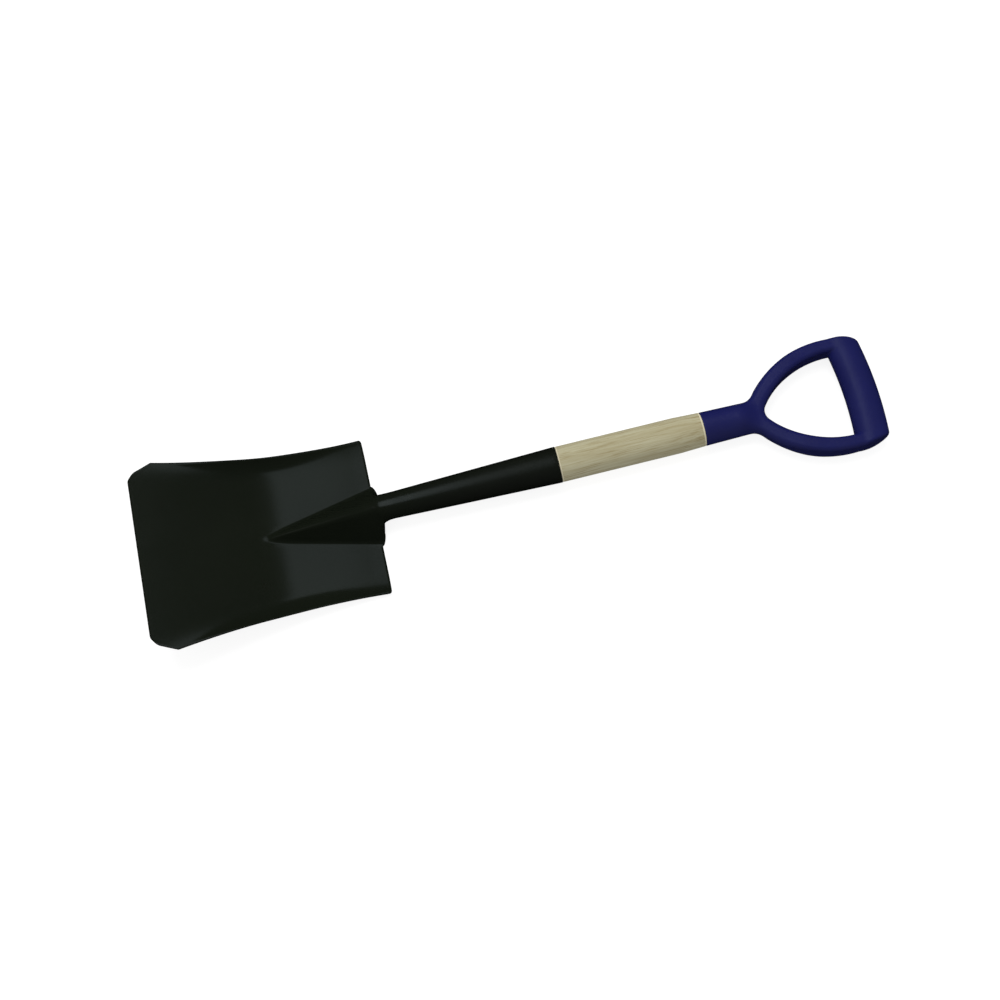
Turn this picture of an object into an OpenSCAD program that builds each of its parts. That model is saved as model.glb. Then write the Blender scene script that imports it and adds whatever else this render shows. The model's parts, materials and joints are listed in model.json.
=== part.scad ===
// Short square-mouth garden spade: a pressed steel blade rolled into an open-backed socket,
// a turned wooden shaft and a one-piece moulded D grip, held together by three wood screws.
//
// The tool is drawn along its shaft. X runs from the mouth of the blade towards the grip with
// x = 0 at the mouth of the grip's socket, Y runs across, and z = 0 is the axis of the shaft.
// laid() then sets the whole tool down face up on the ground, which is z = 0.

/* [Blade] */
// Length of the blade from its shoulders to its mouth
blade_length = 243; // [200:1:300]
// Width across the widest point, just behind the mouth
blade_width = 205.4; // [180:0.2:240]
// Width at the waist of the blade
waist_width = 172.4; // [150:0.2:180]
// Distance of the waist in front of the shoulders
waist_at = 40; // [20:1:80]
// Thickness of the steel sheet
sheet = 2; // [1.5:0.1:2.5]
// Length of the cut across each mouth corner, along the blade
corner_length = 25; // [10:1:40]
// Width of the same cut, across the blade
corner_width = 11.2; // [5:0.1:20]
// Radius where that cut meets the mouth
mouth_round = 8; // [2:0.5:12]
// Radius of the outer corners at the shoulders
shoulder_round = 3; // [1:0.5:8]
// Drop of the pan's upper face below the shaft's axis at the shoulders
pan_drop = 22; // [18:0.5:28]
// Rise of the rear half of the pan towards the mouth, in degrees
heel_slope = 5; // [2:0.5:8]
// Rise of the front half of the pan towards the mouth, in degrees
mouth_slope = 17; // [12:0.5:22]
// Where the pan starts to bend up, in front of the shoulders
bend_start = 88; // [80:1:110]
// Where the bend ends
bend_end = 128; // [125:1:160]
// Height of the turned-up sides at the shoulders
side_height = 4.5; // [3:0.5:12]
// How much higher the sides stand at mid blade
side_swell = 5.5; // [0:0.5:10]
// Width of the curved strip that carries each side up
side_strip = 25; // [15:1:35]

/* [Frog] */
// Length of the raised frog, from the shoulders to where its two sides would meet
frog_length = 129; // [110:1:140]
// Where the crest of the frog runs out into the pan
frog_tip = 122; // [100:1:124]
// Width of the frog at the shoulders
frog_width = 61; // [50:1:70]
// Height of the frog's crest above the shaft's axis at the shoulders
crest_height = 12.9; // [11:0.1:14]
// Radius of the crest at the shoulders
crest_radius = 8; // [6:0.5:10]

/* [Socket] */
// Distance from the shoulders over which the frog's legs close in
roll_length = 8.5; // [7:0.5:14]
// Distance from the shoulders to where the round neck starts
neck_start = 22; // [15:1:24]
// Distance from the shoulders to the mouth of the socket
socket_length = 199.2; // [160:0.2:240]
// Outer diameter of the neck where it starts
neck_diameter = 28.2; // [27:0.2:30]
// Outer diameter of the socket at its mouth
socket_diameter = 38.6; // [38.2:0.2:40]
// Half of the angle left open along the seam at the back, in degrees
seam_angle = 5; // [3:0.5:10]

/* [Shaft] */
// Diameter of the wooden shaft
shaft_diameter = 37.8; // [36:0.2:38]
// Length of bare wood between the two sockets
bare_wood = 153.8; // [100:0.2:250]
// Length of the tapered end inside the blade's socket
tang_length = 140; // [80:1:160]
// Length of the tenon inside the grip
tenon_length = 36; // [30:1:38]
// Diameter of the tenon inside the grip
tenon_diameter = 30; // [28:0.2:31]
// Length over which the wood is dressed down to the grip
wood_taper = 27; // [10:1:40]
// Diameter of the wood where it enters the grip
wood_end_diameter = 35.6; // [34:0.2:36]
// Chamfer on both shoulders of the wood
wood_chamfer = 0.6; // [0.2:0.1:1.5]

/* [Grip] */
// Outer diameter of the grip's socket at its mouth
grip_socket_diameter = 35.6; // [35:0.2:37]
// Length of the round socket, up to where the yoke begins
grip_socket_length = 40; // [38:1:44]
// Distance from the mouth of the socket to the outer face of the bar
grip_length = 186.2; // [180:0.2:190]
// Width over both arms
grip_width = 123.4; // [120:0.2:126]
// Width of the hand opening
opening_width = 94.6; // [92:0.2:98]
// Thickness of the arms
arm_thickness = 24.4; // [20:0.2:28]
// Size of the bar along the tool
bar_depth = 35; // [30:0.2:36]
// Size of the bar through the tool
bar_height = 28.6; // [26:0.2:30]

/* [Screws] */
// Diameter of the screws' shanks
screw_diameter = 4.4; // [3.5:0.1:5]
// Diameter of the screws' heads
screw_head = 8.8; // [8:0.2:10]
// Length of the two socket screws under the head
socket_screw_length = 15; // [10:1:15]
// Length of the grip screw, head included
grip_screw_length = 26; // [20:1:30]
// Distance of the socket screws from the socket's mouth
socket_screw_at = 22; // [15:1:40]
// Angle of the socket screws from straight down, in degrees
socket_screw_angle = 28; // [24:1:34]
// Distance of the grip screw from the mouth of the grip's socket
grip_screw_at = 24; // [15:1:32]

/* [Hidden] */

$fn = 96;
eps = 0.01;

// Places along the tool
socket_mouth_x = -bare_wood;
shoulder_x = socket_mouth_x - socket_length;
mouth_x = shoulder_x - blade_length;

// Clearance between the wood and the inside of the steel socket
wood_clearance = 0.25;
// Clearance between the tenon and the grip's bore
tenon_clearance = 0.1;
// Clearance on the diameter of the screw holes in the steel
screw_clearance = 0.2;

// ---- Shape of the blade ----
// s is the distance in front of the shoulders: blade_length at the mouth, 0 at the shoulders
// and negative along the socket. t counts columns from the centre line: 0 to 1 across one
// side of the frog, 1 to 2 across the flat of the pan, and 2 to 3 up the turned side.

corner_s = blade_length - corner_length;
half_wide = blade_width / 2;
half_waist = waist_width / 2;
// Narrowest half-width that the frog's columns keep past its tip
frog_min = 1.6;
// Radius that the crest keeps at its tip
crest_min = 0.8;
// Length in front of the shoulders over which the sheet's thickness turns square to its face
square_up = 30;
// Fullness of the rolled edge behind the shoulders: 1 is a straight chamfer, 2 an ellipse
roll_power = 1.45;
// Share of the closing that is left to the fillet into the neck
roll_left = 0.23;
// How sharply the sides run out at the mouth
run_out_power = 4;
// Step used to find the slope of the sheet
slope_step = 0.02;
// Steepest face, as the upward part of its normal, that is still thickened straight down
steepest = 0.5;

function limit(v, lo, hi) = min(max(v, lo), hi);
function mix(a, b, w) = a + (b - a) * w;

// Half-width of the pressed outline, before the mouth corners are cut
function outline_half(s) =
    half_waist + (half_wide - half_waist) * pow((s - waist_at) / (corner_s - waist_at), 2);

// Half-width along the cut across the mouth corner
cut_angle = atan(corner_width / corner_length);
function cut_half(s) = half_wide - (s - corner_s) * tan(cut_angle);

// How far a rounded corner of the given radius draws the outline in, at a depth from its end
function draw_in(radius, depth) = radius - sqrt(pow(radius, 2) - pow(radius - min(depth, radius), 2));

// The corner at the mouth is an arc tangent to the cut and to the mouth
mouth_round_s = blade_length - mouth_round * (1 - sin(cut_angle));
mouth_round_centre = cut_half(mouth_round_s) - mouth_round * cos(cut_angle);

// Half-width of the finished blade
function edge_half(s) =
    s <= corner_s ? outline_half(s) - draw_in(shoulder_round, max(s, 0))
    : s <= mouth_round_s ? cut_half(s)
    : mouth_round_centre + sqrt(pow(mouth_round, 2) - pow(s - blade_length + mouth_round, 2));

// Length gained on the steeper slope at s
function bend_run(s) =
    s < bend_start ? 0
    : s < bend_end ? pow(s - bend_start, 2) / (2 * (bend_end - bend_start))
    : s - (bend_start + bend_end) / 2;

// Height of the pan's centre line
function pan_z(s) =
    -pan_drop + s * tan(heel_slope) + bend_run(s) * (tan(mouth_slope) - tan(heel_slope));

// Height of the turned-up side above the pan
function side_z(s) =
    (side_height + side_swell * pow(sin(180 * s / blade_length), 2))
    * (1 - pow(limit(s / blade_length, 0, 1), run_out_power));

// Height of the pan at a distance y from the centre line
function sheet_z(s, y) =
    pan_z(s) + side_z(s) * pow(max(0, (y - outline_half(s) + side_strip) / side_strip), 2);

// Half-width of the frog
function frog_half(s) = max(frog_min, frog_width / 2 * (1 - s / frog_length));

// Height of the frog's crest
function crest_z(s) = mix(crest_height, pan_z(frog_tip), s / frog_tip);

// Section of the frog: a round crest and two straight legs, [y, z] at the share t of its length
function frog_point(s, t) =
    let (
        half = frog_half(s),
        base = pan_z(max(s, 0)),
        rad = crest_min + crest_radius * (1 - s / frog_length),
        centre = crest_z(s) - rad,
        reach = norm([half, base - centre]),
        swing = atan2(half, base - centre) - acos(rad / reach),
        arc = rad * swing * PI / 180,
        leg = sqrt(reach * reach - rad * rad),
        run = t * (arc + leg)
    )
    run < arc
    ? [rad * sin(run / rad * 180 / PI), centre + rad * cos(run / rad * 180 / PI)]
    : let (w = (run - arc) / leg)
      [mix(rad * sin(swing), half, w), mix(centre + rad * cos(swing), base, w)];

// Outer radius of the neck and socket
function socket_radius(s) =
    mix(neck_diameter, socket_diameter, max(0, -s - neck_start) / (socket_length - neck_start)) / 2;

// Section of the rolled socket, [y, z] at the share t of its half circle
function socket_point(s, t) =
    let (turn = t * (180 - seam_angle))
    [socket_radius(s) * sin(turn), socket_radius(s) * cos(turn)];

// Share of the way from frog to socket behind the shoulders
roll_end = roll_length * pow(1 - pow(roll_left, roll_power), 1 / roll_power);
function closing(s) =
    -s < roll_end
    ? 1 - pow(1 - pow(-s / roll_length, roll_power), 1 / roll_power)
    : 1 - roll_left * pow(1 - limit((-s - roll_end) / (neck_start - roll_end), 0, 1), 3);

// Section of the raised part anywhere along the tool
function hump_point(s, t) =
    s > frog_tip ? [frog_half(s) * t, pan_z(s)]
    : s >= 0 ? frog_point(s, t)
    : let (a = frog_point(s, t), b = socket_point(s, t), w = closing(s))
      [mix(a[0], b[0], w), mix(a[1], b[1], w)];

// Distance from the centre line of column t outside the frog
function column_y(s, t) =
    t < 2 ? mix(frog_half(s), edge_half(s) - side_strip, t - 1)
    : edge_half(s) - side_strip * (3 - t);

// Upper face of the sheet, for either side of the centre line
function face_point(s, t) =
    let (
        side = sign(t),
        u = abs(t),
        p = u <= 1 ? hump_point(s, u) : [column_y(s, u), sheet_z(s, column_y(s, u))]
    )
    [shoulder_x - s, side * p[0], p[1]];

// Direction square to the upper face
function face_normal(s, t) =
    let (
        edge = s < 0 ? 1 : 3,
        s0 = limit(s - slope_step, -socket_length, blade_length),
        s1 = limit(s + slope_step, -socket_length, blade_length),
        along = face_point(s0, t) - face_point(s1, t),
        across = face_point(s, min(t + slope_step, edge)) - face_point(s, max(t - slope_step, -edge)),
        n = cross(along, across)
    )
    n / norm(n);

// Lower face of the sheet: straight down under the pan, square to the face around the socket
function back_point(s, t) =
    let (
        n = face_normal(s, t),
        p = face_point(s, t),
        square = limit(1 - s / square_up, 0, 1),
        down = [0, 0, -sheet / max(n[2], steepest)]
    )
    square < 1 ? p + down * (1 - square) - n * sheet * square : p - n * sheet;

// Stations along the sheet and columns across it
mouth_steps = 5;
cut_steps = 3;
front_steps = 6;
tip_steps = 2;
frog_rows = 12;
shoulder_steps = 4;
roll_steps = 6;
fillet_steps = 3;
neck_steps = 4;
frog_steps = 16;
flat_steps = 4;
strip_steps = 5;
function steps(a, b, n) = [for (k = [0:n - 1]) mix(a, b, k / n)];
pan_rows = concat(
    [for (w = steps(0, 90, mouth_steps)) mix(mouth_round_s, blade_length, cos(w))],
    steps(mouth_round_s, corner_s, cut_steps),
    steps(corner_s, bend_end, front_steps),
    steps(bend_end, frog_tip, tip_steps),
    steps(frog_tip, shoulder_round, frog_rows),
    [for (k = [0:shoulder_steps]) shoulder_round * (1 - sin(90 * k / shoulder_steps))]
);
neck_rows = concat(
    [for (k = [1:roll_steps]) -roll_end * sin(90 * k / roll_steps)],
    [for (k = [1:fillet_steps]) -mix(roll_end, neck_start, k / fillet_steps)],
    [for (k = [1:neck_steps]) -mix(neck_start, socket_length, k / neck_steps)]
);
half_columns = concat(steps(1, 2, flat_steps), steps(2, 3, strip_steps), [3]);
hump_columns = [for (k = [-frog_steps:frog_steps]) k / frog_steps];
columns = concat(
    [for (k = [len(half_columns) - 1:-1:1]) -half_columns[k]],
    hump_columns,
    [for (k = [1:len(half_columns) - 1]) half_columns[k]]
);
pan_n = len(pan_rows);
neck_n = len(neck_rows);
wide_n = len(columns);
hump_n = len(hump_columns);
hump_from = len(half_columns) - 1;

// Steel blade, frog and socket, pressed and rolled from one sheet
module sheet_body() {
    face = concat(
        [for (s = pan_rows, t = columns) face_point(s, t)],
        [for (s = neck_rows, t = hump_columns) face_point(s, t)]
    );
    back = concat(
        [for (s = pan_rows, t = columns) back_point(s, t)],
        [for (s = neck_rows, t = hump_columns) back_point(s, t)]
    );
    back_from = len(face);
    function at(i, j) =
        i < pan_n ? i * wide_n + j
        : pan_n * wide_n + (i - pan_n) * hump_n + j - hump_from;
    function pair(a, b) = [a, b, b + back_from, a + back_from];
    rows_n = pan_n + neck_n;
    last = rows_n - 1;
    heel = pan_n - 1;
    cells = concat(
        [for (i = [0:heel - 1], j = [0:wide_n - 2]) [i, j]],
        [for (i = [heel:last - 1], j = [hump_from:hump_from + hump_n - 2]) [i, j]]
    );
    quads = [
        for (c = cells)
            [at(c[0], c[1]), at(c[0] + 1, c[1]), at(c[0] + 1, c[1] + 1), at(c[0], c[1] + 1)]
    ];
    left = hump_from;
    right = hump_from + hump_n - 1;
    walls = concat(
        [for (j = [0:wide_n - 2]) pair(at(0, j), at(0, j + 1))],
        [for (j = [left:right - 1]) pair(at(last, j + 1), at(last, j))],
        [for (j = [0:left - 1]) pair(at(heel, j + 1), at(heel, j))],
        [for (j = [right:wide_n - 2]) pair(at(heel, j + 1), at(heel, j))],
        [for (i = [0:heel - 1]) pair(at(i + 1, 0), at(i, 0))],
        [for (i = [0:heel - 1]) pair(at(i, wide_n - 1), at(i + 1, wide_n - 1))],
        [for (i = [heel:last - 1]) pair(at(i + 1, left), at(i, left))],
        [for (i = [heel:last - 1]) pair(at(i, right), at(i + 1, right))]
    );
    split = function (q) [[q[0], q[1], q[2]], [q[0], q[2], q[3]]];
    upper = [for (q = quads) each split(q)];
    lower = [for (q = quads) each split([q[3], q[2], q[1], q[0]] + back_from * [1, 1, 1, 1])];
    edges = [for (q = walls) each split(q)];
    polyhedron(points = concat(face, back), faces = concat(upper, lower, edges));
}

// ---- Setting the tool down ----
// It rests on the heel of the pan and on the wood, where that starts to be dressed down.
bar_x = grip_length - bar_depth / 2;
heel_rest = -pan_drop - sheet / cos(heel_slope);
pitch = atan((-shaft_diameter / 2 - heel_rest) / (-wood_taper - shoulder_x));
lift = sin(pitch) * shoulder_x - cos(pitch) * heel_rest;
low_x = cos(pitch) * mouth_x + sin(pitch) * pan_z(blade_length);
high_x = cos(pitch) * grip_length;
centre_x = (low_x + high_x) / 2;

module laid() {
    translate([-centre_x, 0, lift]) rotate([0, pitch, 0]) children();
}

// Turns a body of revolution drawn up +Z to lie along +X
module along_x() {
    rotate([0, 90, 0]) children();
}

// Places a socket screw, drawn up -Z from its seat, on the given side of the seam
module at_socket_screw(side) {
    seat = socket_radius(-socket_length + socket_screw_at);
    tilt = atan((socket_diameter - neck_diameter) / 2 / (socket_length - neck_start));
    translate([socket_mouth_x - socket_screw_at, 0, 0])
        rotate([side * socket_screw_angle, 0, 0])
            translate([0, 0, -seat])
                rotate([0, tilt, 0])
                    children();
}

// Places the grip screw, its head flush with the underside of the grip's socket
module at_grip_screw() {
    translate([grip_screw_at, 0, -grip_radius(grip_screw_at)]) children();
}

// ---- Blade ----
module blade() {
    color([0.08, 0.09, 0.07])
    laid()
    difference() {
        sheet_body();
        for (side = [-1, 1])
            at_socket_screw(side)
                translate([0, 0, -sheet])
                    cylinder(d = screw_diameter + screw_clearance, h = 3 * sheet);
    }
}

// ---- Shaft ----
tang_tip_radius =
    socket_radius(-socket_length + tang_length) - sheet - wood_clearance;
tang_root_radius = socket_diameter / 2 - sheet - wood_clearance;
tang_chamfer = 3;

module shaft() {
    shaft_r = shaft_diameter / 2;
    tenon_r = tenon_diameter / 2;
    color([0.66, 0.62, 0.52])
    laid()
    difference() {
        along_x()
        rotate_extrude()
        polygon([
            [0, socket_mouth_x - tang_length],
            [tang_tip_radius - tang_chamfer, socket_mouth_x - tang_length],
            [tang_tip_radius, socket_mouth_x - tang_length + tang_chamfer],
            [tang_root_radius, socket_mouth_x],
            [shaft_r - wood_chamfer, socket_mouth_x],
            [shaft_r, socket_mouth_x + wood_chamfer],
            [shaft_r, -wood_taper],
            [wood_end_diameter / 2, -wood_chamfer],
            [wood_end_diameter / 2 - wood_chamfer, 0],
            [tenon_r, 0],
            [tenon_r, tenon_length - wood_chamfer],
            [tenon_r - wood_chamfer, tenon_length],
            [0, tenon_length]
        ]);
        for (side = [-1, 1])
            at_socket_screw(side)
                screw_core(socket_screw_length);
        at_grip_screw()
            screw_core(grip_screw_length);
    }
}

// ---- Grip ----
grip_neck_radius = 17;
// The outer edge of each arm is one arc, and so is its inner edge
outer_arc = 109.9;
outer_arc_x = 142.5;
inner_arc = 95.4;
inner_arc_x = 146.9;
crotch_radius = 13.2;
// Radius of the fillets that lead from the socket out to the arms
yoke_fillet = 21.6;
// The yoke is thinner than the arms, and thickens towards them along a slant
yoke_thickness = 19;
yoke_slant_from = 48;
yoke_slant_to = 100;
// Length over which the socket's round nose dives into the yoke
nose_length = 20;
// Radius to which the bar is bowed
bar_bow = 420;
// Half of the angle that the bar is drawn through, which reaches beyond both arms
bar_swing = 12;
// Sides of the polygon that stands for the bar's section
bar_sides = 48;
// Angle between neighbouring points on an arc
arc_step = 3;
// How far the end of the nose stays below the faces of the yoke
nose_sink = 1;
// Steps along the nose
nose_steps = 8;
// Gap between the end of the tenon and the bottom of its bore
tenon_gap = 1;

function grip_radius(x) = mix(grip_socket_diameter / 2, grip_neck_radius, x / grip_socket_length);

// Points on an arc about a centre, from one angle to another
function arc_points(centre, radius, from, to) =
    let (n = max(2, ceil(abs(to - from) / arc_step)))
    [for (k = [0:n]) centre + radius * [cos(mix(from, to, k / n)), sin(mix(from, to, k / n))]];

// A closed outline from its upper half
function mirrored(points) =
    concat(points, [for (k = [len(points) - 1:-1:0]) [points[k][0], -points[k][1]]]);

arm_centre_y = grip_width / 2 - outer_arc;
fillet_y = grip_neck_radius + yoke_fillet;
fillet_x = outer_arc_x - sqrt(pow(outer_arc + yoke_fillet, 2) - pow(fillet_y - arm_centre_y, 2));

// Upper half of the yoke's plan, from the socket to where its fillet meets the arm
function yoke_half_plan() =
    let (meet = atan2(arm_centre_y - fillet_y, outer_arc_x - fillet_x))
    arc_points([fillet_x, fillet_y], yoke_fillet, -90, meet);

// Upper half of the hand opening, from its crotch to the bar
function opening_half_plan() =
    let (
        inner_centre = [inner_arc_x, opening_width / 2 - inner_arc],
        crotch_x = inner_arc_x - sqrt(pow(inner_arc - crotch_radius, 2) - pow(inner_centre[1], 2)),
        meet = atan2(-inner_centre[1], crotch_x - inner_arc_x)
    )
    concat(
        arc_points([crotch_x, 0], crotch_radius, 180, meet),
        arc_points(inner_centre, inner_arc, meet, 90),
        [[bar_x, opening_width / 2], [bar_x, 0]]
    );

// Everything between the outer edges of the two arms
module between_arms(height) {
    intersection_for (side = [-1, 1])
        translate([outer_arc_x, side * arm_centre_y, -height / 2])
            cylinder(r = outer_arc, h = height);
}

// Side view of the yoke and arms, as half thickness along the grip
arms_profile = [
    [fillet_x, yoke_thickness / 2],
    [yoke_slant_from, yoke_thickness / 2],
    [yoke_slant_to, arm_thickness / 2],
    [grip_length, arm_thickness / 2]
];

// Flat plate of the given height, centred, with the given plan
module plate(height) {
    translate([0, 0, -height / 2])
        linear_extrude(height)
            children();
}

// Yoke and arms as a plate, up to the middle of the bar
module arms() {
    intersection() {
        difference() {
            union() {
                between_arms(arm_thickness);
                plate(arm_thickness)
                    polygon(mirrored(yoke_half_plan()));
            }
            plate(2 * arm_thickness)
                polygon(mirrored(opening_half_plan()));
        }
        translate([grip_length - bar_bow, 0, -arm_thickness])
            cylinder(r = bar_bow - bar_depth / 2, h = 2 * arm_thickness);
        rotate([90, 0, 0])
            plate(2 * grip_width)
                polygon(mirrored(arms_profile));
        translate([fillet_x, 0, 0])
            along_x()
                cylinder(r1 = grip_neck_radius, r2 = grip_neck_radius + grip_length, h = grip_length);
    }
}

// Bowed bar of elliptical section, its ends cut along the outer edges of the arms
module bar() {
    intersection() {
        translate([grip_length - bar_bow, 0, 0])
            rotate([0, 0, -bar_swing])
                rotate_extrude(angle = 2 * bar_swing)
                    translate([bar_bow - bar_depth / 2, 0])
                        polygon([
                            for (k = [0:bar_sides - 1])
                                let (a = 360 * k / bar_sides)
                                [bar_depth / 2 * cos(a), bar_height / 2 * sin(a)]
                        ]);
        between_arms(2 * bar_height);
    }
}

// Round socket with the nose that runs out into the yoke
module grip_socket() {
    nose_end = yoke_thickness / 2 - nose_sink;
    along_x()
    rotate_extrude()
    polygon(concat(
        [[0, 0], [grip_socket_diameter / 2, 0]],
        [for (k = [0:nose_steps])
            let (w = k / nose_steps)
            [mix(grip_neck_radius, nose_end, w * w * (3 - 2 * w)), grip_socket_length + nose_length * w]],
        [[0, grip_socket_length + nose_length]]
    ));
}

module grip() {
    color([0.13, 0.14, 0.36])
    laid()
    difference() {
        union() {
            grip_socket();
            arms();
            bar();
        }
        along_x()
            translate([0, 0, -eps])
                cylinder(r = tenon_diameter / 2 + tenon_clearance, h = tenon_length + tenon_gap + eps);
        at_grip_screw()
            screw_seat();
    }
}

// ---- Screws ----
// Each screw is drawn from its seat up, with its head below the seat
pan_head_height = 2.6;
countersunk_height = 2.4;
screw_tip = 5;
recess_width = 1.2;
recess_length = 5;
recess_depth = 1.6;
// Radius around the edge of the pan head, and how high the head's flat side stands
head_round = 2;
head_side = 1;
// Length of the hole under a countersunk seat, through the wall of the grip
seat_hole = 10;
// Step between the points of the pan head's round edge
head_step = 15;

module screw_core(length) {
    translate([0, 0, -eps])
        rotate_extrude()
            polygon([
                [0, 0],
                [screw_diameter / 2, 0],
                [screw_diameter / 2, length - screw_tip + eps],
                [0, length + eps]
            ]);
}

module cross_recess() {
    for (a = [0, 90])
        rotate([0, 0, a])
            translate([-recess_length / 2, -recess_width / 2, -recess_depth])
                cube([recess_length, recess_width, 2 * recess_depth]);
}

module screw_seat() {
    translate([0, 0, -eps])
        cylinder(d1 = screw_head, d2 = screw_diameter, h = countersunk_height + eps);
    cylinder(d = screw_diameter, h = seat_hole);
}

module pan_screw() {
    head_centre = [screw_head / 2 - head_round, -head_side];
    difference() {
        union() {
            screw_core(socket_screw_length);
            rotate_extrude()
                polygon(concat(
                    [[0, 0], [screw_head / 2, 0]],
                    [for (a = [0:head_step:90])
                        head_centre + [head_round * cos(a), (head_side - pan_head_height) * sin(a)]],
                    [[0, -pan_head_height]]
                ));
        }
        translate([0, 0, -pan_head_height])
            cross_recess();
    }
}

module countersunk_screw() {
    difference() {
        union() {
            screw_core(grip_screw_length);
            cylinder(d1 = screw_head, d2 = screw_diameter, h = countersunk_height);
        }
        cross_recess();
    }
}

module socket_screw_left() {
    color([0.35, 0.35, 0.36]) laid() at_socket_screw(-1) pan_screw();
}

module socket_screw_right() {
    color([0.35, 0.35, 0.36]) laid() at_socket_screw(1) pan_screw();
}

module grip_screw() {
    color([0.35, 0.35, 0.36]) laid() at_grip_screw() countersunk_screw();
}

blade();
shaft();
grip();
socket_screw_left();
socket_screw_right();
grip_screw();
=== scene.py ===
import json
import math

import bpy
import numpy as np
from mathutils import Matrix, Vector


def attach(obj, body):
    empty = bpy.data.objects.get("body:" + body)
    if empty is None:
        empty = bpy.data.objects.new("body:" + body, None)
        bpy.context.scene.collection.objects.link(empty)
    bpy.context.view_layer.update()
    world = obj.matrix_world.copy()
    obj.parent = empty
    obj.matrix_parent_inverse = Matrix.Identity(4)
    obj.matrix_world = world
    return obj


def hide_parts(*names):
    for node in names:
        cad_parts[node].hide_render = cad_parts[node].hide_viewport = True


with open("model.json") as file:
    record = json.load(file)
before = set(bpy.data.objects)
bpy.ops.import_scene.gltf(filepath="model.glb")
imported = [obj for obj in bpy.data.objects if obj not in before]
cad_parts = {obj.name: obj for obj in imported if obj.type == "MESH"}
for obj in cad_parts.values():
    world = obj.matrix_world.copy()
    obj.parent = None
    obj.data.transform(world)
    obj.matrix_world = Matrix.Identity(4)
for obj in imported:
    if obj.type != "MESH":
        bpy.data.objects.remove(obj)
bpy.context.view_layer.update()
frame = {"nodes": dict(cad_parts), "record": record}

# Short square-mouth garden spade, lying face up. The steel blade and the moulded D grip are
# detailed meshes that stand for their CAD solids. The wooden shaft and the screws are the CAD
# solids themselves, with worked-up materials.
#
# Lengths are in millimetres in the tool's own frame, as in the CAD design: x runs from the mouth
# of the blade towards the grip with x = 0 at the mouth of the grip's socket, y runs across, and
# z = 0 is the axis of the shaft. placed() turns them into metres in the shared frame.

MM = 0.001

# ---- Design values, the same as the CAD model's ----

BLADE_LENGTH = 243.0
WAIST_WIDTH = 172.4
BLADE_WIDTH = 205.4
WAIST_AT = 40.0
SHEET = 2.0
CORNER_LENGTH = 25.0
CORNER_WIDTH = 11.2
MOUTH_ROUND = 8.0
SHOULDER_ROUND = 3.0
PAN_DROP = 22.0
HEEL_SLOPE = math.radians(5)
MOUTH_SLOPE = math.radians(17)
BEND_START = 88.0
BEND_END = 128.0
SIDE_HEIGHT = 4.5
SIDE_SWELL = 5.5
SIDE_STRIP = 25.0
RUN_OUT_POWER = 4

FROG_LENGTH = 129.0
FROG_TIP = 122.0
FROG_WIDTH = 61.0
CREST_HEIGHT = 12.9
CREST_RADIUS = 8.0
CREST_MIN = 0.8

ROLL_LENGTH = 8.5
ROLL_POWER = 1.45
ROLL_LEFT = 0.23
NECK_START = 22.0
SOCKET_LENGTH = 199.2
NECK_DIAMETER = 28.2
SOCKET_DIAMETER = 38.6
SEAM_ANGLE = math.radians(5)
BARE_WOOD = 153.8

GRIP_SOCKET_DIAMETER = 35.6
GRIP_NECK_RADIUS = 17.0
GRIP_SOCKET_LENGTH = 40.0
GRIP_LENGTH = 186.2
GRIP_WIDTH = 123.4
OPENING_WIDTH = 94.6
ARM_THICKNESS = 24.4
BAR_DEPTH = 35.0
BAR_HEIGHT = 28.6
OUTER_ARC = 109.9
OUTER_ARC_X = 142.5
INNER_ARC = 95.4
INNER_ARC_X = 146.9
CROTCH_RADIUS = 13.2
YOKE_FILLET = 21.6
BAR_BOW = 420.0
BORE_RADIUS = 15.1
BORE_LENGTH = 37.0
SEAT_AT = 24.0
SEAT_DIAMETER = 9.2
SEAT_DEPTH = 2.4

# Place of the clip's mount, measured from the mouth of the grip's socket towards the blade
CLIP_AT = 90.4

SHOULDER_X = -BARE_WOOD - SOCKET_LENGTH

# ---- Details that only the visual model has ----

# How far in the sheet's rim starts to round, and the steps round it
RIM_REACH = 0.7
RIM_STEPS = 6
# Fillet in the crease between the frog and the pan, and the most of the frog's leg that it takes
CREASE_FILLET = 3.5
CREASE_SHARE = 0.4
# Where the frog's tip starts to soften, the length over which the softening sets in, and the
# least half-width that it covers
SOFT_FROM = 82.0
SOFT_RUN = 25.0
SOFT_HALF = 7.0
# The patch that evens out the tip: its width, its reach in such widths and its points across
SOFTNESS = 1.3
SOFT_REACH = 2.5
SOFT_POINTS = 11
# How near the pan the crest starts to fade into it, how much lower it is led at its tip, and the
# frog's least half-width
TIP_SOFT = 3.0
TIP_SINK = 2.2
FROG_MIN = 3.6
# Stretch in front of the shoulders over which the back goes from straight below the face to
# square behind it, and the least upright part of a normal that is counted
SQUARE_RUN = 30.0
LEAST_UPRIGHT = 0.5
# Distance from the shoulders to the first row of points behind them
FIRST_ROW = 0.6
# Half the height of the yoke, the roundness of its edges and of the arms', and where the yoke
# starts and stops turning into the arms
YOKE_HALF = 8.0
YOKE_ROUND = 7.6
ARM_ROUND = 4.5
YOKE_FROM = 48.0
YOKE_TO = 112.0
# Where the round socket starts and stops turning into the flat yoke
MORPH_FROM = 38.0
MORPH_TO = 62.0
# Fillet between the bar and the arms, and the roundness of the bar's ends and the socket's mouth
BAR_BLEND = 1.2
BAR_END_ROUND = 2.5
MOUTH_EDGE = 1.0
# How much the screw's seat narrows for each millimetre inwards
SEAT_TAPER = 0.8
# How far the bar's outer side is held inside the CAD box
BOX_INSET = 0.05
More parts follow.
